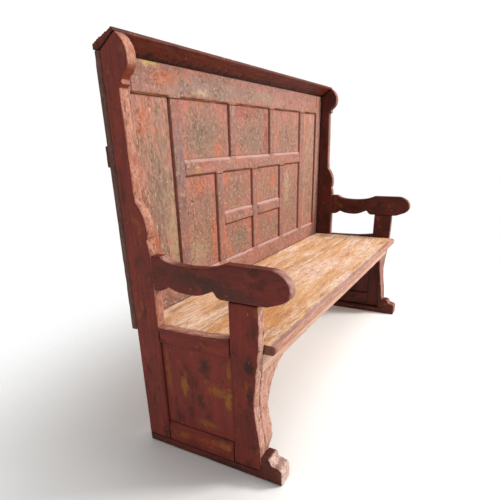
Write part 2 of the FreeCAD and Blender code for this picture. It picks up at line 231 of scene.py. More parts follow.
# %% [markdown]
# ## How the paint is mixed
# Every finish here is a pile of thin coats on a base colour. A coat has a colour, a mask that
# says where it lies, and how much of it covers. A mask is a noise that is stretched to the
# real size of its marks, along the grain of the board, and cut off so that it has edges. The
# noise is read at the place on the bench, moved by a step for each board, so the marks don't
# run on from one board into the next.

# %% Places and patterns
board_step = (0.37, 0.71, 0.53)  # metres, longer than most marks


def board_place(tree):
    """Places on the bench in metres, moved by a different step on each board."""
    where = add(tree, "TexCoord", {}).outputs["Object"]
    board = add(tree, "Attribute", {}, attribute_name="board").outputs["Fac"]
    step = add(tree, "VectorMath", {0: board_step, "Scale": board}, operation="SCALE")
    return add(tree, "VectorMath", {0: where, 1: step.outputs[0]}).outputs[0]


def along_grain(tree, place, grain, across, along):
    """Stretches a place so that a pattern of size one is across by along metres."""
    scale = [1.0 / across] * 3
    scale[axis_numbers[grain]] = 1.0 / along
    return add(tree, "Mapping", {"Vector": place, "Scale": scale}).outputs[0]


def patches(tree, place, grain, across, along, low, high, detail=5.0, rough=0.6):
    """Soft-edged patches: nothing where the noise is under low, full where it is over high."""
    stretched = along_grain(tree, place, grain, across, along)
    spots = add(tree, "TexNoise", {"Vector": stretched, "Scale": 1.0, "Detail": detail,
                                   "Roughness": rough})
    return add(tree, "MapRange", {"Value": spots.outputs[0], "From Min": low, "From Max": high},
               interpolation_type="SMOOTHSTEP").outputs[0]


# %% Masks by direction, place and depth
def facing(tree, axis, low, high):
    """One where the surface looks along an axis, zero where it doesn't."""
    normal = add(tree, "NewGeometry", {}).outputs["Normal"]
    along = add(tree, "VectorMath", {0: normal, 1: axis}, operation="DOT_PRODUCT")
    return add(tree, "MapRange", {"Value": along.outputs["Value"], "From Min": low,
                                  "From Max": high},
               interpolation_type="SMOOTHSTEP").outputs[0]


def near_place(tree, centre, reach):
    """Full near one place on the bench, and gone with a feathered edge at its reach."""
    where = add(tree, "TexCoord", {}).outputs["Object"]
    offset = add(tree, "VectorMath", {0: where, 1: centre}, operation="SUBTRACT").outputs[0]
    share = add(tree, "VectorMath", {0: offset, 1: reach}, operation="DIVIDE").outputs[0]
    length = add(tree, "VectorMath", {0: share}, operation="LENGTH").outputs["Value"]
    edge = add(tree, "TexNoise", {"Vector": where, "Scale": 42.0, "Detail": 7.0,
                                  "Roughness": 0.72}).outputs[0]  # feathers about 24 mm wide
    feathered = piled(tree, length, both(tree, edge, 3.0))  # the noise is 0.5 on average
    return add(tree, "MapRange", {"Value": feathered, "From Min": 2.6, "From Max": 1.7},
               interpolation_type="SMOOTHSTEP").outputs[0]


def crevice_dirt_and_shade(tree, depth):
    """Dirt and painted shade: full deep in a joint or under a ledge, nothing on open faces, whose
    share is 1.
    """
    open_share = add(tree, "AmbientOcclusion", {"Distance": depth}, samples=6).outputs["AO"]
    return add(tree, "MapRange", {"Value": open_share, "From Min": 0.45, "From Max": 0.95,
                                  "To Min": 1.0, "To Max": 0.0}).outputs[0]


# %% Masks together, and coats
def both(tree, first, second):
    """A mask only where another one is too, or weakened by a number."""
    return add(tree, "Math", {0: first, 1: second}, operation="MULTIPLY").outputs[0]


def piled(tree, first, second):
    """Two masks or heights, one on top of the other."""
    return add(tree, "Math", {0: first, 1: second}, operation="ADD").outputs[0]


def cut_into(tree, height, pits):
    """A height with pits let into it."""
    return add(tree, "Math", {0: height, 1: pits}, operation="SUBTRACT").outputs[0]


def coats(tree, base, layers):
    """Lays coats over a base. Each is a colour, its mask, and how much of it covers."""
    colour = linear(base) if isinstance(base, str) else base
    for paint, mask, cover in layers:
        over = linear(paint) if isinstance(paint, str) else paint
        colour = add(tree, "Mix", {0: both(tree, mask, cover), 6: colour, 7: over},
                     data_type="RGBA").outputs[2]
    return colour


def placed_marks(tree, marks, cover):
    """One coat for each mark that has a place of its own: its colour, centre and reach."""
    return [(code, near_place(tree, centre, reach), cover) for code, centre, reach in marks]


# %% Start and close a finish
def finish_tree(name):
    material = bpy.data.materials.new(name)
    material.use_nodes = True
    material.node_tree.nodes.clear()
    return material, material.node_tree


def close_finish(tree, colour, rough, height, depth, gloss):
    """Joins colour, roughness and height to the shader. Dry oil paint and wood have IOR 1.5."""
    bump = add(tree, "Bump", {"Height": height, "Strength": 1.0, "Distance": depth})
    shader = add(tree, "BsdfPrincipled", {"Base Color": colour, "Roughness": rough,
                                          "Normal": bump.outputs[0], "IOR": 1.5,
                                          "Specular IOR Level": gloss})
    add(tree, "OutputMaterial", {0: shader.outputs[0]})


# %% [markdown]
# ## Old oil paint on the end frames
# The end frames are pine under many coats of oxblood oil paint, brushed on along the boards.
# To the eye it is deep, dull and a little uneven: brush streaks, lighter clouds, dark stains
# where hands and damp reach it, a breath of ochre undercoat, and small pale chips. The edges
# that face the room are rubbed down to a pale pink ground with grit and pits in it, and this
# pale is partly painted light, as these faces look towards the window. Faces that look down
# are painted browner, as painted shade. The shader gets a low gloss, so the paint reads as dry.

# %% Oxblood paint
def pale_ground(tree, pattern, ground, grit, pits):
    """The pink ground coat, as it shows where the red is rubbed away."""
    worn = pattern(14 * mm, 34 * mm, 0.36, 0.6)
    return coats(tree, ground[0], [(ground[1], worn, 1.0), ("8f5443", grit, 0.6),
                                   ("4e2a20", pits, 0.75)])


def above_height(tree, height):
    """Nothing under a height on the bench, full over it."""
    where = add(tree, "TexCoord", {}).outputs["Object"]
    up_z = add(tree, "SeparateXYZ", {0: where}).outputs["Z"]
    return add(tree, "MapRange", {"Value": up_z, "From Min": height - 10 * mm,
                                  "From Max": height}).outputs[0]


def oxblood_paint(name, grain, body, light, stain, ground=("b47c68", "d8a994"), spots=(),
                  share_front=0.95, brushed=0.3, under="713a22", pale_way=(0, -0.9, 0.45),
                  pale_above=0.0):
    """Three reds from body to stain, and a pale ground on the faces that look pale_way."""
    material, tree = finish_tree(name)
    pattern = partial(patches, tree, board_place(tree), grain)
    streaks = pattern(9 * mm, 160 * mm, 0.38, 0.7)
    clouds = pattern(60 * mm, 130 * mm, 0.38, 0.64)
    stains = pattern(40 * mm, 80 * mm, 0.52, 0.7)
    ochre = pattern(34 * mm, 50 * mm, 0.6, 0.7)
    grit = pattern(4 * mm, 7 * mm, 0.35, 0.7, 3.0)
    pits = pattern(9 * mm, 14 * mm, 0.6, 0.68, 3.0)
    chips = pattern(10 * mm, 16 * mm, 0.71, 0.73, 2.0)
    # painted shade: faces that look down and forward get the browner under colour
    shade_below = facing(tree, (0, -0.6, -0.8), 0.5, 0.9)
    brown = coats(tree, under, [(light, streaks, 1.0)])
    colour = coats(tree, body, [(light, clouds, 1.0), (stain, streaks, brushed),
                                (stain, stains, 0.7), ("8a4f22", ochre, 0.4),
                                (brown, shade_below, 0.7), *placed_marks(tree, spots, 0.8),
                                ("b98d7c", chips, 0.4)])
    # the pale ground on faces that look pale_way is wear, and partly painted light, as they look
    # towards the window
    front = both(tree, facing(tree, pale_way, 0.45, 0.85), above_height(tree, pale_above))
    # joints and the undersides of ledges darken, as dirt and as painted shade, less on the pale
    # faces
    dirt_and_shade_cover = add(tree, "MapRange", {"Value": front, "To Min": 0.8, "To Max": 0.25}).outputs[0]
    pale = pale_ground(tree, pattern, ground, grit, pits)
    colour = coats(tree, colour, [(pale, front, share_front),
                                  ("22100d", crevice_dirt_and_shade(tree, 8 * mm), dirt_and_shade_cover)])
    height = piled(tree, both(tree, streaks, brushed), both(tree, grit, 0.6))
    rough = add(tree, "MapRange", {"Value": clouds, "To Min": 0.5, "To Max": 0.68}).outputs[0]
    close_finish(tree, colour, rough, cut_into(tree, height, pits), 0.8 * mm, 0.2)
    return material


# %% [markdown]
# Some marks on the near end are in places of their own: the dark middle of the arm, where
# hands have rested, a filled knot in the front post, and spots of ochre undercoat where the
# panel and the bottom rail have been kicked. A row gives a mark's colour, its centre and how
# far it reaches each way, in metres. A reach of 1 or more lets it run through the board.

# %% Marks on the near end
end_x = -0.8
hand_stain = [("452820", (end_x, 0.05, 0.613), (1, 0.10, 0.03)),
              ("452820", (end_x, -0.02, 0.598), (1, 0.09, 0.028)),
              ("452820", (end_x, -0.09, 0.58), (1, 0.09, 0.024))]
filled_knot = [("231913", (end_x, -0.152, 0.374), (1, 0.024, 0.036)),
               ("3a1d15", (end_x, -0.154, 0.28), (1, 0.016, 0.034))]
kicked_spots = [("8f5a20", (end_x, 0.082, 0.255), (1, 0.016, 0.045)),
                ("8a5320", (end_x, -0.036, 0.262), (1, 0.045, 0.022)),
                ("94601f", (end_x, -0.078, 0.245), (1, 0.014, 0.045)),
                ("855020", (end_x, -0.082, 0.345), (1, 0.010, 0.045)),
                ("7d4a1e", (end_x, 0.009, 0.135), (1, 0.06, 0.018)),
                ("3b2319", (end_x, 0.0, 0.335), (1, 0.03, 0.04)),
                ("7d4a22", (end_x, 0.14, 0.29), (1, 0.010, 0.09))]
rail_spots = [("8a4a1f", (end_x, 0.093, 0.066), (1, 0.035, 0.02)),
              ("93381f", (end_x, 0.02, 0.07), (1, 0.08, 0.016)),
              ("8d5424", (end_x, -0.05, 0.075), (1, 0.04, 0.016))]
# a painted shadow along the hood's lower edge, where it meets the top rail
hood_shadow = [("150705", (0, 0.243, 1.152), (9, 9, 0.022))]
print("placed marks", len(hand_stain + filled_knot + kicked_spots + rail_spots + hood_shadow))

# %% [markdown]
# The same paint has aged differently on each board, so each kind of board gets its own mix.
# The far end's mix is darker all over, as painted shade, since its faces look away from the
# window.

# %% The end frames' paints
reds = ("6d271d", "7d3327", "371a15")  # body, lighter clouds, dark stain
upwards = (0, 0, 1)
# brackets and pegs: the plain mix
oxblood = oxblood_paint("oxblood_oil_paint_on_pine", "Z", *reds)
# side rails: pale on top, rubbed where a hand pushes up from the seat and partly painted light
side_rail_paint = oxblood_paint("oxblood_oil_paint_on_side_rail", "Y", *reds,
                                pale_way=upwards, share_front=0.7)
# rear posts: their fronts are pale only above the seat, and warmer than the front posts'
rear_post_paint = oxblood_paint("oxblood_oil_paint_on_rear_post", "Z", *reds,
                                ground=("a4654f", "c48d74"), under="7d3f1c", pale_above=0.43)
# arms: darkened by hands, with a greyer pink on the rolled front
arm_paint = oxblood_paint("hand_darkened_oxblood_paint_on_arm", "Y", "61241c", "702e25", reds[2],
                          ground=("9c6a5f", "c39a90"), spots=hand_stain, share_front=0.8)
# front posts: a filled knot shows through as a black blot
front_post_paint = oxblood_paint("oxblood_oil_paint_with_filled_knot", "Z", "67241b", "762e24",
                                 reds[2], spots=filled_knot)
# end panels: smoother paint with few brush streaks, kicked through to the ochre
end_panel_paint = oxblood_paint("kicked_oxblood_paint_on_panel", "Z", "6f2920", "7c3329",
                                reds[2], spots=kicked_spots, brushed=0.1)
# bottom rails: kicked as well, and with no edge to the room
bottom_rail_paint = oxblood_paint("kicked_oxblood_paint_on_rail", "Y", *reds,
                                  spots=rail_spots, share_front=0.0)
# feet: nearly black from the floor, and almost white on the toe, partly worn and partly painted
# light
foot_paint = oxblood_paint("floor_worn_oxblood_paint_on_foot", "Y", "54221a", "662a20", "2c1713",
                           ground=("cba391", "e6cfc2"))
# far end and rear batten: all three reds darker and duller, as painted shade
far_shade_paint = {grain: oxblood_paint("shade_darkened_oxblood_paint_" + grain, grain,
                               "451d16", "5a261c", "21110e",
                               ground=("8d5545", "b98672"), share_front=0.7)
          for grain in "YZ"}
# capping board: browner and strongly streaked, darker as painted shade on the underside that
# shows, with a painted shadow where it meets the back
hood_paint = oxblood_paint("shade_darkened_paint_on_hood", "X", "551c0d", "753019", "2c1007",
                           spots=hood_shadow, share_front=0.0, brushed=0.6, under="521a0b")
print("finishes", len(bpy.data.materials))

# %% [markdown]
# ## Crackled paint on the back
# The back's framing and panels carry a thick salmon oil paint that the sun has dried out. It
# has shrunk into small scales with dark lines between them, it has greyed to tan in the
# middles of the panels, and it is redder where the framing shades it. To the eye it is
# chalky, with no gloss, and rough like bark in the worst places. The scales are drawn a little
# larger than the real ones, so that they show in the picture.

# %% Crackled salmon paint
def crack_lines(tree, place, grain, stretch):
    """Thin lines where the paint has split: the folds of a noise, where it crosses its middle."""
    split = add(tree, "TexNoise", {"Vector": along_grain(tree, place, grain, 15 * mm,
                                                         15 * mm * stretch),
                                   "Scale": 1.0, "Detail": 4.0, "Roughness": 0.65,
                                   "Distortion": 0.3}).outputs[0]
    fold = add(tree, "Math", {0: cut_into(tree, split, 0.5)}, operation="ABSOLUTE").outputs[0]
    return add(tree, "MapRange", {"Value": fold, "From Min": 0.004, "From Max": 0.03,
                                  "To Min": 1.0, "To Max": 0.0}).outputs[0]


def narrow_faces(tree, place, shaded, left_shade):
    """Coats for a mouth's narrow faces: painted highlight on those that look up, painted shade on
    those that look down and left.
    """
    layers = []
    # painted highlight: faces that look up are lighter, as the light falls on them
    if "up" in shaded:
        layers.append(("bf968d", facing(tree, (0, 0, 1), 0.35, 0.6), 0.65))
    # painted shade: faces that look down, under the rails, are dark, with ochre veins
    if "under" in shaded:
        veins = patches(tree, place, "X", 3 * mm, 70 * mm, 0.44, 0.6, 3.0)
        under_rail_shade = coats(tree, "532a1c", [("99622f", veins, 1.0)])
        layers.append((under_rail_shade, facing(tree, (0, 0, -1), 0.3, 0.6), 0.9))
    # painted shade: faces that look left, away from the window
    if "left" in shaded:
        layers.append((left_shade, facing(tree, (-1, 0, 0), 0.3, 0.7), 0.8))
    return layers


def crackled_paint(name, grain, base, warm, grey, share_grey, grey_middle=False, marks=(),
                   stretch=1.3, relief=1.6 * mm, shaded=(), left_shade="7b4237"):
    """Stretch draws the marks out along the grain. Shaded lists ways that narrow faces look,
    which get painted light or shade.
    """
    material, tree = finish_tree(name)
    place = board_place(tree)

    def pattern(across, along, *limits):
        return patches(tree, place, grain, across * mm, along * mm * stretch, *limits)

    clouds = pattern(80, 80, 0.36, 0.64, 8.0, 0.7)
    warm_clouds = pattern(50, 70, 0.49, 0.6, 9.0, 0.75)
    speck = pattern(10, 10, 0.42, 0.6, 4.0, 0.7)
    flakes = pattern(13, 13, 0.54, 0.6, 4.0, 0.7)
    dried = pattern(45, 60, 0.47, 0.6, 7.0, 0.7)
    greyed = clouds
    if grey_middle:
        middle = add(tree, "Attribute", {}, attribute_name="middle").outputs["Fac"]
        lean = piled(tree, middle, both(tree, clouds, 0.7))
        greyed = add(tree, "MapRange", {"Value": lean, "From Min": 0.35,
                                        "From Max": 1.05}).outputs[0]
    scaly = piled(tree, both(tree, greyed, 0.3), both(tree, dried, 0.5))
    scaly = piled(tree, scaly, 0.12)
    pale_scales = both(tree, flakes, scaly)
    dark_cracks = both(tree, crack_lines(tree, place, grain, stretch), scaly)
    mottle = add(tree, "MapRange", {"Value": speck, "To Min": 0.55, "To Max": 1.0}).outputs[0]
    colour = coats(tree, base, [(warm, warm_clouds, 0.8),
                                (grey, both(tree, greyed, mottle), share_grey),
                                *placed_marks(tree, marks, mottle),
                                ("dcbf9d", pale_scales, 0.6), ("55342a", dark_cracks, 0.6),
                                ("7a4231", speck, 0.3),
                                *narrow_faces(tree, place, shaded, left_shade),
                                # dirt and painted shade in joints and recesses
                                ("4a261d", crevice_dirt_and_shade(tree, 5 * mm), 0.5)])
    height = cut_into(tree, piled(tree, pale_scales, both(tree, speck, 0.45)), dark_cracks)
    rough = add(tree, "MapRange", {"Value": greyed, "To Min": 0.55, "To Max": 0.85}).outputs[0]
    close_finish(tree, colour, rough, height, relief, 0.3)
    return material


# %% [markdown]
# The back also has marks in places of their own. The framing has greyed and warm patches, and
# one bright ochre spot at the top left, and some panels are more orange or more tan.

# %% Marks on the back
orange, cream_grey, tan_grey = "c5714d", "b39876", "8c7865"
frame_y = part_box("back_top_rail")[0].y
panel_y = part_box("left_upper_panel")[0].y
rail_marks = [("8f7d6e", (-0.30, frame_y, 1.106), (0.42, 1, 0.04)),
              ("9c8573", (0.12, frame_y, 1.108), (0.18, 1, 0.03)),
              ("c0714f", (-0.56, frame_y, 1.122), (0.08, 1, 0.03)),
              ("c8b08c", (-0.37, frame_y, 1.095), (0.06, 1, 0.014)),
              ("d9b462", (-0.615, frame_y, 1.152), (0.05, 1, 0.012)),
              ("b3834a", (-0.417, frame_y, 0.853), (0.03, 1, 0.012))]
muntin_marks = [("876a64", (-0.51, frame_y, 0.86), (0.06, 1, 0.16)),
                ("ba6c4a", (-0.25, frame_y, 0.62), (0.04, 1, 0.12))]
panel_marks = [(orange, (-0.27, panel_y, 0.925), (0.05, 1, 0.06)),
               (tan_grey, (-0.36, panel_y, 0.96), (0.13, 1, 0.09)),
               (orange, (-0.32, panel_y, 0.60), (0.025, 1, 0.16)),
               (orange, (-0.41, panel_y, 0.80), (0.05, 1, 0.04)),
               (cream_grey, (-0.43, panel_y, 0.57), (0.07, 1, 0.08)),
               (orange, (0.19, panel_y, 0.775), (0.06, 1, 0.04)),
               (orange, (-0.22, panel_y, 0.81), (0.05, 1, 0.03)),
               (tan_grey, (0.0, panel_y, 0.945), (0.11, 1, 0.07)),
               ("8f4a42", (0.12, panel_y, 0.96), (0.03, 1, 0.14)),
               ("9a5a4f", (-0.09, panel_y, 1.05), (0.16, 1, 0.035)),
               (cream_grey, (0.35, panel_y, 0.74), (0.05, 1, 0.10)),
               (tan_grey, (-0.13, panel_y, 0.57), (0.08, 1, 0.06))]
tall_panel_marks = [(orange, (-0.66, panel_y, 1.01), (0.04, 1, 0.06)),
                    (orange, (-0.655, panel_y, 0.63), (0.03, 1, 0.13)),
                    (tan_grey, (-0.60, panel_y, 0.86), (0.07, 1, 0.26)),
                    (cream_grey, (-0.56, panel_y, 0.66), (0.04, 1, 0.22))]
print("frame face at", round(frame_y, 4), "panel face at", round(panel_y, 4))

# %% [markdown]
# The framing is smoother than the panels, because it is planed thicker stock that moves less,
# so its paint stands up less. The apron is nearly bleached bare, with long streaks.

# %% The back's paints
framing_look = dict(warm="b5664a", grey="8a7262", share_grey=0.7, relief=1.0 * mm)
framing_paint = {
    "X": crackled_paint("salmon_oil_paint_on_back_frame_X", "X", "a87264", marks=rail_marks,
                        shaded=("up", "under"), **framing_look),
    "Z": crackled_paint("salmon_oil_paint_on_back_frame_Z", "Z", "98695e", marks=muntin_marks,
                        shaded=("left",), **framing_look)}
stile_paint = crackled_paint("salmon_oil_paint_on_back_stiles", "Z", "a87264", shaded=("left",),
                             left_shade="3f241d", **framing_look)
panel_paint = crackled_paint("crackled_salmon_paint_on_panels", "Z", "b37364", "bf7050",
                             "907a66", 0.85, grey_middle=True, marks=panel_marks, stretch=1.1)
tall_panel_paint = crackled_paint("weathered_salmon_paint_on_tall_panel", "Z", "ba7d69",
                                  "c8704c", "917f6a", 0.8, grey_middle=True,
                                  marks=tall_panel_marks, stretch=2.6)
apron_paint = crackled_paint("sun_bleached_salmon_paint_on_apron", "X", "cc9c86", "c98f6e",
                             "dfbfa6", 0.8, stretch=6.0, relief=0.8 * mm)
print("finishes", len(bpy.data.materials))

# %% [markdown]
# ## The bare seat
# The seat is planed pine that was never painted on top, or was rubbed bare by use. To the eye
# it is honey-coloured and half dull, with long wide-apart growth lines, pale sapwood streaks,
# fine dark dashes and browner resin streaks. Only a strip along its front edge still has
# paint, whose inner line is ragged, and the board's end that looks left is dark, partly with
# old paint and partly as painted shade.

# %% Bare pine
def painted_front(tree, painted_edge, cream, lines):
    """Coats for the strip of old paint along the front edge, and for the board's end that looks
    left, dark paint and painted shade.
    """
    where = add(tree, "TexCoord", {}).outputs["Object"]
    along_y = add(tree, "SeparateXYZ", {0: where}).outputs["Y"]
    ragged = add(tree, "TexNoise", {"Vector": where, "Scale": 26.0, "Detail": 6.0,
                                    "Roughness": 0.65}).outputs[0]  # teeth about 38 mm long
    line = piled(tree, along_y, both(tree, ragged, 20 * mm))
    strip = add(tree, "MapRange", {"Value": line, "From Min": painted_edge + 4 * mm,
                                   "From Max": painted_edge - 4 * mm}).outputs[0]
    top = coats(tree, "8c6560", [("a87f7b", cream, 1.0)])
    front = coats(tree, "965f4a", [("c08a6e", lines, 1.0)])
    paint = coats(tree, top, [(front, facing(tree, (0, -1, 0), 0.5, 0.8), 1.0)])
    # faces that look left are dark: old paint, and painted shade
    return [(paint, strip, 0.92), ("6b3a30", facing(tree, (-1, 0, 0), 0.3, 0.7), 0.9)]


def bare_pine(name, painted_edge=None, marks=()):
    """Pine along X, and paint in front of painted_edge where one is given."""
    material, tree = finish_tree(name)
    pattern = partial(patches, tree, board_place(tree), "X")
    bands = pattern(26 * mm, 420 * mm, 0.38, 0.62, 6.0)
    lines = pattern(5 * mm, 60 * mm, 0.42, 0.6, 6.0, 0.7)
    dashes = pattern(3.5 * mm, 18 * mm, 0.54, 0.62, 3.0)
    cream = pattern(60 * mm, 240 * mm, 0.42, 0.62, 8.0, 0.62)
    brown = pattern(22 * mm, 160 * mm, 0.54, 0.7, 7.0, 0.65)
    gold = pattern(90 * mm, 200 * mm, 0.45, 0.62)
    nicks = pattern(6 * mm, 14 * mm, 0.67, 0.7, 2.0)
    veined = add(tree, "MapRange", {"Value": gold, "To Min": 0.3, "To Max": 0.7}).outputs[0]
    painted = []
    if painted_edge is not None:
        painted = painted_front(tree, painted_edge, cream, lines)
    colour = coats(tree, "d59c6a", [("e6bf93", bands, 1.0), ("d39f68", gold, 0.35),
                                    ("f4ddc8", cream, 0.85), *placed_marks(tree, marks, 0.55),
                                    ("b0703f", lines, 0.5), ("9a5129", dashes, veined),
                                    ("8f5a3a", brown, 0.6), ("5c3826", nicks, 0.7), *painted,
                                    # dirt and painted shade in joints and recesses
                                    ("4a2a1e", crevice_dirt_and_shade(tree, 6 * mm), 0.7)])
    height = piled(tree, both(tree, lines, 0.7), both(tree, bands, 0.3))
    rough = add(tree, "MapRange", {"Value": lines, "To Min": 0.5, "To Max": 0.7}).outputs[0]
    close_finish(tree, colour, rough, cut_into(tree, height, nicks), 0.7 * mm, 0.3)
    return material


# %% The seat's two boards
front_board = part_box("front_seat_board")
seat_front, seam_y, seat_top = front_board[0].y, front_board[1].y, front_board[1].z
painted_width = 27 * mm
rear_marks = [("b2783f", (0.10, seam_y + 0.03, seat_top), (0.22, 0.03, 1)),
              ("a87448", (0.45, seam_y + 0.02, seat_top), (0.12, 0.016, 1)),
              ("8a6a52", (-0.55, seam_y + 0.05, seat_top), (0.09, 0.03, 1)),
              ("f2dcbc", (-0.42, seam_y + 0.12, seat_top), (0.20, 0.06, 1))]
front_marks = [("c98a4a", (-0.60, seam_y - 0.10, seat_top), (0.22, 0.16, 1)),
               ("f0d3bf", (0.05, seam_y - 0.08, seat_top), (0.30, 0.05, 1)),
               ("6e4a36", (-0.306, -0.181, seat_top), (0.02, 0.006, 1)),
               ("7a5238", (0.295, -0.176, seat_top), (0.03, 0.004, 1))]
rear_seat_pine = bare_pine("worn_bare_pine", marks=rear_marks)
front_seat_pine = bare_pine("worn_bare_pine_with_painted_edge", seat_front + painted_width,
                            front_marks)
print("seat from", round(seat_front, 4), "seam at", round(seam_y, 4), "top", round(seat_top, 4))

# %% [markdown]
# ## Dressing the end frames
# Each end is two posts, an arm, two rails, a foot and a bracket. Their wide faces look along
# the bench, so that is the way that their arrises are found, and the paint's streaks follow
# the grain: up the posts, and along the rails, arm and foot.

# %% Dress the end frames
end_boards = (("rear_post", "Z", rear_post_paint), ("front_post", "Z", front_post_paint),
              ("arm", "Y", arm_paint), ("side_rail", "Y", side_rail_paint),
              ("bottom_rail", "Y", bottom_rail_paint), ("sled_foot", "Y", foot_paint))
for side in ("left", "right"):
    for part, grain, paint in end_boards:
        node = side + "_" + part
        # the far end takes the darker paint, which is painted shade
        finish = paint if side == "left" else far_shade_paint[grain]
        worn_board(node + "_board", node, grain, "X", finish)
    node = side + "_corner_bracket"
    finish = oxblood if side == "left" else far_shade_paint["Z"]
    worn_board(node + "_board", node, "Z", "Y", finish)
print("end boards", board_count)

# %% [markdown]
# Where post, bracket and apron meet, years of scraping and thick paint have brought their
# fronts into one sweep. Here the front of each is eased to it by a few millimetres, by height,
# and the bracket's side is pressed against the post so that no gap shows.

# %% One sweep of post, bracket and apron
def ease_front(piece, heights, shifts, depth=22 * mm):
    """Moves the front skin of a piece along Y by a shift that depends on height."""
    points = read(piece.data.vertices, "co", 3).astype(float)
    shift = np.interp(points[:, 2], heights, shifts)
    front = np.full(len(points), np.inf)
    slices = np.round(points[:, 2] / (6 * mm)).astype(int)
    for level in np.unique(slices):
        front[slices == level] = points[slices == level, 1].min()
    share = np.clip(1.0 - (points[:, 1] - front) / depth, 0, 1)
    points[:, 1] += shift * share
    piece.data.vertices.foreach_set("co", points.astype(np.float32).ravel())
    print(piece.name, "eased by up to", round(float(np.abs(shift * share).max()) / mm, 1), "mm")


post_sweep = (0.27, 0.36, 0.45, 0.557), (0, -6 * mm, -6 * mm, -2 * mm)
bracket_sweep = ((0.25, 0.27, 0.29, 0.31, 0.33, 0.346),
                 (0, 1 * mm, 3 * mm, 7 * mm, 9.5 * mm, 9 * mm))
apron_sweep = (0.346, 0.406), (8 * mm, 5 * mm)
post_side = 765 * mm
press = 3 * mm
for side in ("left", "right"):
    ease_front(bpy.data.objects[side + "_front_post_board"], *post_sweep)
    bracket = bpy.data.objects[side + "_corner_bracket_board"]
    ease_front(bracket, *bracket_sweep)
    for vertex in bracket.data.vertices:
        if abs(vertex.co.x) > post_side - press:
            vertex.co.x += math.copysign(press, vertex.co.x)

# %% [markdown]
# ## Dressing the back
# The back's framing is narrower than the end frames, so it gets smaller squares and smaller
# chips, which leave its bevelled mouths whole. The capping board and the rear batten are
# painted as dark as the far end, as painted shade.

# %% Dress the back's framing
narrow_cell = 3 * mm
small_chip = 1.5 * mm
middle_frame = (("back_top_rail", "X"), ("back_bottom_rail", "X"), ("back_mid_rail", "X"),
                ("centre_muntin", "Z"))
side_frame = (("back_stile", "Z"), ("long_muntin", "Z"), ("upper_muntin", "Z"),
              ("lower_muntin", "Z"), ("short_rail", "X"))
back_frame = list(middle_frame)
back_frame += [(side + "_" + part, grain) for side in ("left", "right")
               for part, grain in side_frame]
for node, grain in back_frame:
    paint = stile_paint if node.endswith("stile") else framing_paint[grain]
    worn_board(node + "_board", node, grain, "Y", paint, narrow_cell,
               small_chip)
worn_board("rear_batten_board", "rear_batten", "X", "Y", far_shade_paint["Y"])
apron = worn_board("seat_apron_board", "seat_apron", "X", "Y", apron_paint)
ease_front(apron, *apron_sweep)
worn_board("capping_board_hood", "capping_board", "X", "Y", hood_paint)
print("back boards", len(back_frame), "boards so far", board_count)

# %% [markdown]
# ## Dressing the seat
# The seat is two boards side by side. The front one's two free corners are rounded where
# people have slid off the seat: a point outside the corner's circle is drawn in to it.

# %% Dress the seat
worn_board("rear_seat_board_plank", "rear_seat_board", "X", "Z", rear_seat_pine,
           5 * mm)
front_plank = worn_board("front_seat_board_plank", "front_seat_board", "X", "Z",
                         front_seat_pine)
print("boards", board_count)

# %% Round the seat's corners
corner_radius = 16 * mm
half_seat = front_board[1].x
for vertex in front_plank.data.vertices:
    side_x = abs(vertex.co.x) - (half_seat - corner_radius)
    front_y = (seat_front + corner_radius) - vertex.co.y
    out = math.hypot(side_x, front_y)
    if side_x > 0 and front_y > 0 and out > corner_radius:
        vertex.co.x -= math.copysign(side_x * (1 - corner_radius / out), vertex.co.x)
        vertex.co.y += front_y * (1 - corner_radius / out)

# %% [markdown]
# ## Panels
# Each panel is one thin board that was let into the grooves of its frame. It has cupped a
# little across its width and waves along its height, so light slides over it unevenly. It is
# made as a grid in front, the same grid behind and a rim between them. The faces sink in by up
# to 2 mm, but not at the edges, which sit in the grooves. How near a point is to the middle is
# kept for the paint, which is greyest there.

# %% Panels
panel_step = 9 * mm
cupped, deepest = 0.8 * mm, 2 * mm
groove_share = 8.0  # an eighth of the way in from an edge, the cupping is full


def grid_faces(columns, rows):
    """The squares of a front and a rear sheet, and of the rim that joins them."""
    line = columns + 1
    count = line * (rows + 1)
    faces = []
    for row in range(rows):
        for column in range(columns):
            corner = row * line + column
            square = [corner, corner + 1, corner + 1 + line, corner + line]
            faces.append(square)
            faces.append([count + point for point in reversed(square)])
    rim = list(range(line))
    rim += [row * line + columns for row in range(1, rows + 1)]
    rim += [rows * line + column for column in range(columns - 1, -1, -1)]
    rim += [row * line for row in range(rows - 1, 0, -1)]
    for first, second in zip(rim, rim[1:] + rim[:1]):
        faces.append([second, first, first + count, second + count])
    return faces


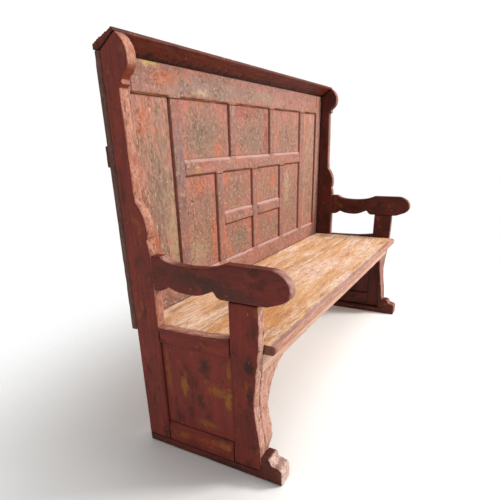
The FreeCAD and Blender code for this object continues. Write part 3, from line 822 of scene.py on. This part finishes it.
def bowed_panel(node, finish, front="Y"):
    """Dresses one panel: front is the axis that its wide faces look along."""
    global board_count
    board_count += 1
    low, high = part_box(node)
    axis = axis_numbers[front]
    wide = 1 - axis
    columns = max(4, int((high[wide] - low[wide]) / panel_step))
    rows = max(4, int((high.z - low.z) / panel_step))
    across, height = np.meshgrid(np.linspace(0, 1, columns + 1), np.linspace(0, 1, rows + 1))
    across, height = across.ravel(), height.ravel()
    free = np.clip(groove_share * np.minimum(across, 1 - across), 0, 1)
    free *= np.clip(groove_share * np.minimum(height, 1 - height), 0, 1)
    flat = np.zeros((len(across), 3))
    flat[:, wide] = low[wide] + across * (high[wide] - low[wide])
    flat[:, 2] = low.z + height * (high.z - low.z)
    wave = rolling(flat, 70 * mm, 300 * mm, "Z", board_count) * 0.6 * mm
    wave += rolling(flat, 18 * mm, 60 * mm, "Z", board_count + 30) * 0.25 * mm
    sheets = []
    for place, sign in ((low[axis], 1.0), (high[axis], -1.0)):
        sheet = flat.copy()
        sheet[:, axis] = place + sign * np.clip(cupped + wave, 0, deepest) * free
        sheets.append(sheet)
    mesh = bpy.data.meshes.new(node + "_panel")
    mesh.from_pydata(np.vstack(sheets).tolist(), [], grid_faces(columns, rows))
    mesh.validate()
    from_middle = np.hypot((across - 0.5) * 2.0, (height - 0.45) * 2.0)
    keep(mesh, "middle", np.tile(np.clip(1.15 - 0.8 * from_middle, 0, 1), 2))
    keep(mesh, "board", np.full(len(mesh.vertices), board_count % board_looks))
    if axis == 0:
        mesh.flip_normals()
    dress(link_piece(node + "_sheet", mesh), node, finish)


for side, paint in (("left", end_panel_paint), ("right", far_shade_paint["Z"])):
    for part in ("upper_panel", "narrow_panel", "small_upper_panel", "small_lower_panel"):
        bowed_panel(side + "_" + part, panel_paint)
    bowed_panel(side + "_tall_panel", tall_panel_paint)
    bowed_panel(side + "_end_panel", paint, front="X")
bowed_panel("upper_centre_panel", panel_paint)
print("boards and panels", board_count)

# %% [markdown]
# The pegs and the bearers under the seat are right as they were packed, so they stay and only
# get a finish.

# %% Pieces that stay as they are
kept_finishes = {"back_pegs": oxblood, "left_end_pegs": oxblood, "right_end_pegs": oxblood,
                 "left_seat_bearer": rear_seat_pine, "right_seat_bearer": rear_seat_pine,
                 "centre_seat_bearer": rear_seat_pine, "seat_rear_rail": rear_seat_pine}
for node, finish in kept_finishes.items():
    nodes[node].data.materials.clear()
    nodes[node].data.materials.append(finish)
print("kept nodes", len(kept_finishes))

# %% [markdown]
# ## Floor and light
# The bench stands on a plain pale matt floor. The floor takes the bench's soft shadow close by,
# and further out it fades away in a long oval, so that no edge or horizon shows behind the
# bench. The world is white near the horizon and weaker overhead, so that it looks like a white
# wall and yet doesn't flatten the shading.

# %% Floor
fade_from, fade_to = 0.55, 1.5  # metres from the middle, across the bench
oval_squeeze = (0.6, 1, 1)
floor_mesh = bpy.data.meshes.new("floor")
floor_mesh.from_pydata([(-40, -40, 0), (40, -40, 0), (40, 40, 0), (-40, 40, 0)], [],
                       [(0, 1, 2, 3)])
floor = link_piece("floor", floor_mesh)
floor_material, floor_tree = finish_tree("pale_matt_floor")
matt = add(floor_tree, "BsdfPrincipled", {"Base Color": linear("f6f4f1"), "Roughness": 0.9})
gone = add(floor_tree, "BsdfTransparent", {})
floor_place = add(floor_tree, "TexCoord", {}).outputs["Object"]
oval = add(floor_tree, "VectorMath", {0: floor_place, 1: oval_squeeze}, operation="MULTIPLY")
from_bench = add(floor_tree, "VectorMath", {0: oval.outputs[0]}, operation="LENGTH")
near_bench = add(floor_tree, "MapRange", {"Value": from_bench.outputs["Value"],
                                          "From Min": fade_to, "From Max": fade_from},
                 interpolation_type="SMOOTHSTEP").outputs[0]
faded = add(floor_tree, "MixShader", {0: near_bench, 1: gone.outputs[0], 2: matt.outputs[0]})
add(floor_tree, "OutputMaterial", {0: faded.outputs[0]})
floor_mesh.materials.append(floor_material)
print("floor", floor.name)

# %% [markdown]
# One large soft window stands high in front of the bench and to its right, with a weaker light
# over the seat, so faces that look left fall into shade.

# %% Lights
def soft_light(name, place, target, size, power):
    data = bpy.data.lights.new(name, "AREA")
    data.shape = "SQUARE"
    data.size = size
    data.energy = power
    lamp = bpy.data.objects.new(name, data)
    lamp.location = place
    lamp.rotation_euler = (Vector(target) - Vector(place)).to_track_quat("-Z", "Y").to_euler()
    bpy.context.scene.collection.objects.link(lamp)
    print(name, power, "W")


soft_light("window", (1.9, -3.2, 3.1), (0, 0, 0.6), 1.2, 165.0)
soft_light("skylight", (0.6, -0.9, 3.6), (0, 0, 0.4), 2.4, 60.0)

# %% World
world = bpy.data.worlds.new("studio")
world.use_nodes = True
sky_tree = world.node_tree
sky_tree.nodes.clear()
way = add(sky_tree, "TexCoord", {}).outputs["Generated"]
way_up = add(sky_tree, "SeparateXYZ", {0: way}).outputs["Z"]
strength = add(sky_tree, "MapRange", {"Value": way_up, "From Min": 0.25, "From Max": 0.5,
                                      "To Min": 1.0, "To Max": 0.38}).outputs[0]
sky = add(sky_tree, "Background", {"Color": (1, 1, 1, 1), "Strength": strength})
add(sky_tree, "OutputWorld", {0: sky.outputs[0]})
bpy.context.scene.world = world
bpy.context.scene.view_settings.view_transform = "Standard"
print("world", world.name)
